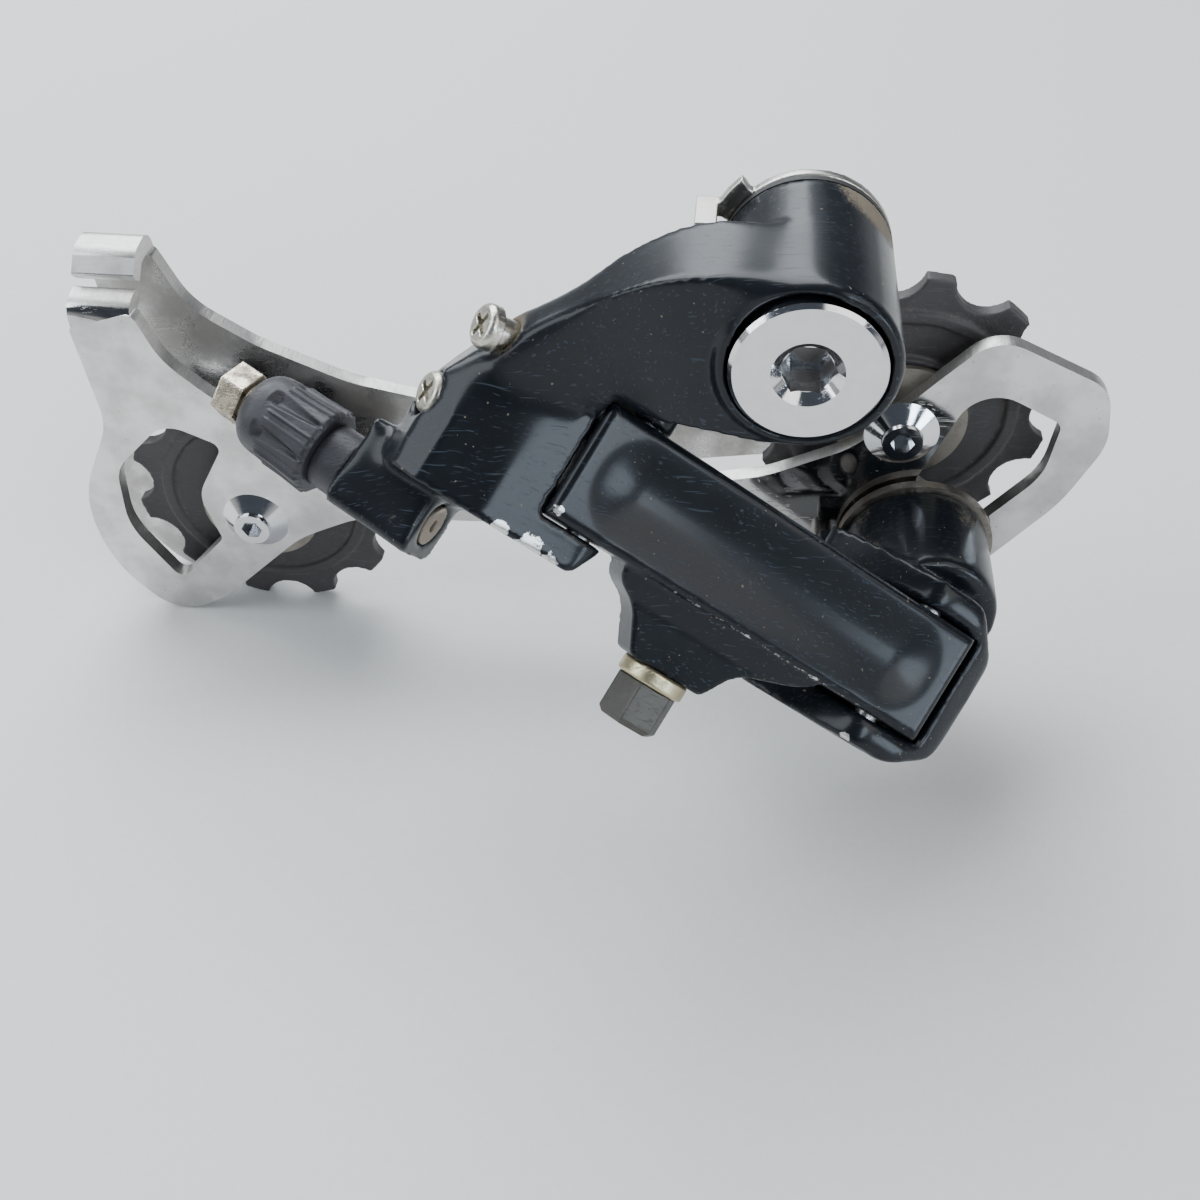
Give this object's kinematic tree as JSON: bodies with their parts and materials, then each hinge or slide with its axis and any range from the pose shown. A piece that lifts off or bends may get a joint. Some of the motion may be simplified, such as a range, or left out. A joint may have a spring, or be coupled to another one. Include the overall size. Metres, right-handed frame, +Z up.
{
  "type": "rear bicycle derailleur",
  "caption": "Long-cage rear derailleur: black knuckles and slant parallelogram, sprung chrome cage with two toothed pulleys, barrel adjuster and hanger bolt.",
  "frame": {"origin": "on the mounting bolt's axis, in the plane where the stop plate meets the frame's hanger", "axes": "+X forwards on the bicycle, +Y inboard along the mounting bolt towards the wheel, +Z up"},
  "size_m": [0.158, 0.0585, 0.0885],
  "materials": {
    "black_paint": "gloss black paint over cast aluminium",
    "inner_link_paint": "satin black paint over pressed steel",
    "chrome": "polished chrome",
    "cage_steel": "bright plated face with dull sheared edges",
    "plated_steel": "zinc plated, dusty",
    "nickel": "nickel plated, worn",
    "pin_steel": "ground steel",
    "spring_steel": "oiled spring steel",
    "bronze": "sintered bronze",
    "black_oxide": "black oxide, dusty",
    "yellow_zinc": "yellow zinc plated",
    "cap_steel": "dull pressed steel with dried grease",
    "pulley_resin": "dark moulded resin, dirty",
    "knob_resin": "soft dark plastic",
    "seal_rubber": "black rubber"
  },
  "bodies": {
    "hanger_mount": {"mounting_bolt": "chrome", "b_snap_ring": "plated_steel", "b_stop_plate": "plated_steel"},
    "b_knuckle": {"b_knuckle": "black_paint", "b_bushing": "bronze", "b_dust_seal": "seal_rubber", "b_spring": "spring_steel", "upper_outer_pin": "pin_steel", "upper_inner_pin": "pin_steel", "adjuster_collar": "knob_resin"},
    "outer_link": {"outer_link": "black_paint", "outer_link_bushes": "bronze", "cable_clamp_washer": "yellow_zinc", "cable_clamp_bolt": "black_oxide"},
    "inner_link": {"inner_link": "inner_link_paint", "return_spring": "spring_steel"},
    "p_knuckle": {"p_knuckle": "black_paint", "p_dust_cover": "cap_steel", "p_bushing": "bronze", "p_spring": "spring_steel", "lower_outer_pin": "pin_steel", "lower_inner_pin": "pin_steel"},
    "cage": {"outer_cage_plate": "cage_steel", "inner_cage_plate": "cage_steel", "p_axle": "plated_steel", "cage_stop_pin": "plated_steel", "guide_pulley_bush": "pin_steel", "guide_dust_caps": "cap_steel", "guide_pulley_bolt": "chrome", "tension_pulley_bush": "pin_steel", "tension_dust_caps": "cap_steel", "tension_pulley_bolt": "chrome"},
    "guide_pulley": {"guide_pulley": "pulley_resin"},
    "tension_pulley": {"tension_pulley": "pulley_resin"},
    "adjuster_barrel": {"adjuster_barrel": "nickel"},
    "adjuster_knob": {"adjuster_knob": "knob_resin"},
    "low_limit_screw": {"low_limit_screw": "plated_steel"},
    "high_limit_screw": {"high_limit_screw": "plated_steel"},
    "b_tension_screw": {"b_tension_screw": "plated_steel"}
  },
  "joints": [
    {"name": "b_pivot", "type": "hinge", "parent": "hanger_mount", "child": "b_knuckle", "pos_m": [0, -0.015, 0], "axis": [0, -1, 0], "range_deg": [0, 40], "stiffness_Nm_per_rad": 1.2, "springref_deg": -20.05},
    {"name": "outer_link_swing", "type": "hinge", "parent": "b_knuckle", "child": "outer_link", "pos_m": [-0.0229, -0.0226, -0.0221], "axis": [0.4589, 0.6421, 0.6141], "range_deg": [0, 48], "stiffness_Nm_per_rad": 0.8, "springref_deg": -20.05},
    {"name": "inner_link_swing", "type": "hinge", "parent": "b_knuckle", "child": "inner_link", "pos_m": [-0.03491, -0.01201, -0.0242], "axis": [0.4589, 0.6421, 0.6141], "range_deg": [0, 48]},
    {"name": "p_knuckle_level", "type": "hinge", "parent": "outer_link", "child": "p_knuckle", "pos_m": [0.01781, -0.02578, -0.04919], "axis": [0.4589, 0.6421, 0.6141], "range_deg": [-48, 0]},
    {"name": "cage_pivot", "type": "hinge", "parent": "p_knuckle", "child": "cage", "pos_m": [0.022, -0.006, -0.05], "axis": [0, -1, 0], "range_deg": [0, 130], "stiffness_Nm_per_rad": 0.5, "springref_deg": -34.38},
    {"name": "guide_spin", "type": "hinge", "parent": "cage", "child": "guide_pulley", "pos_m": [0.0172, 0.0089, -0.0302], "axis": [0, -1, 0], "continuous": true},
    {"name": "tension_spin", "type": "hinge", "parent": "cage", "child": "tension_pulley", "pos_m": [-0.0837, 0.0089, -0.0555], "axis": [0, -1, 0], "continuous": true},
    {"name": "adjuster_slide", "type": "slide", "parent": "b_knuckle", "child": "adjuster_barrel", "axis": [-0.8623, 0.4245, 0.2762], "range_m": [0, 0.004]},
    {"name": "adjuster_turn", "type": "hinge", "parent": "adjuster_barrel", "child": "adjuster_knob", "pos_m": [-0.06722, -0.01636, -0.02163], "axis": [-0.8623, 0.4245, 0.2762], "range_deg": [0, 1800]},
    {"name": "low_limit_turn", "type": "hinge", "parent": "b_knuckle", "child": "low_limit_screw", "pos_m": [-0.0454, -0.0189, -0.013], "axis": [-0.7419, -0.3509, 0.5714], "range_deg": [0, 720]},
    {"name": "high_limit_turn", "type": "hinge", "parent": "b_knuckle", "child": "high_limit_screw", "pos_m": [-0.0374, -0.0182, -0.0032], "axis": [-0.7419, -0.3509, 0.5714], "range_deg": [0, 720]},
    {"name": "b_tension_turn", "type": "hinge", "parent": "b_knuckle", "child": "b_tension_screw", "pos_m": [-0.013, -0.0052, 0], "axis": [0, 0, -1], "range_deg": [0, 720]}
  ],
  "couplings": [
    {"joint": "inner_link_swing", "follows": "outer_link_swing", "ratio": 1},
    {"joint": "p_knuckle_level", "follows": "outer_link_swing", "ratio": -1},
    {"joint": "adjuster_slide", "follows": "adjuster_turn", "m_per_rad": 0.00012732}
  ]
}
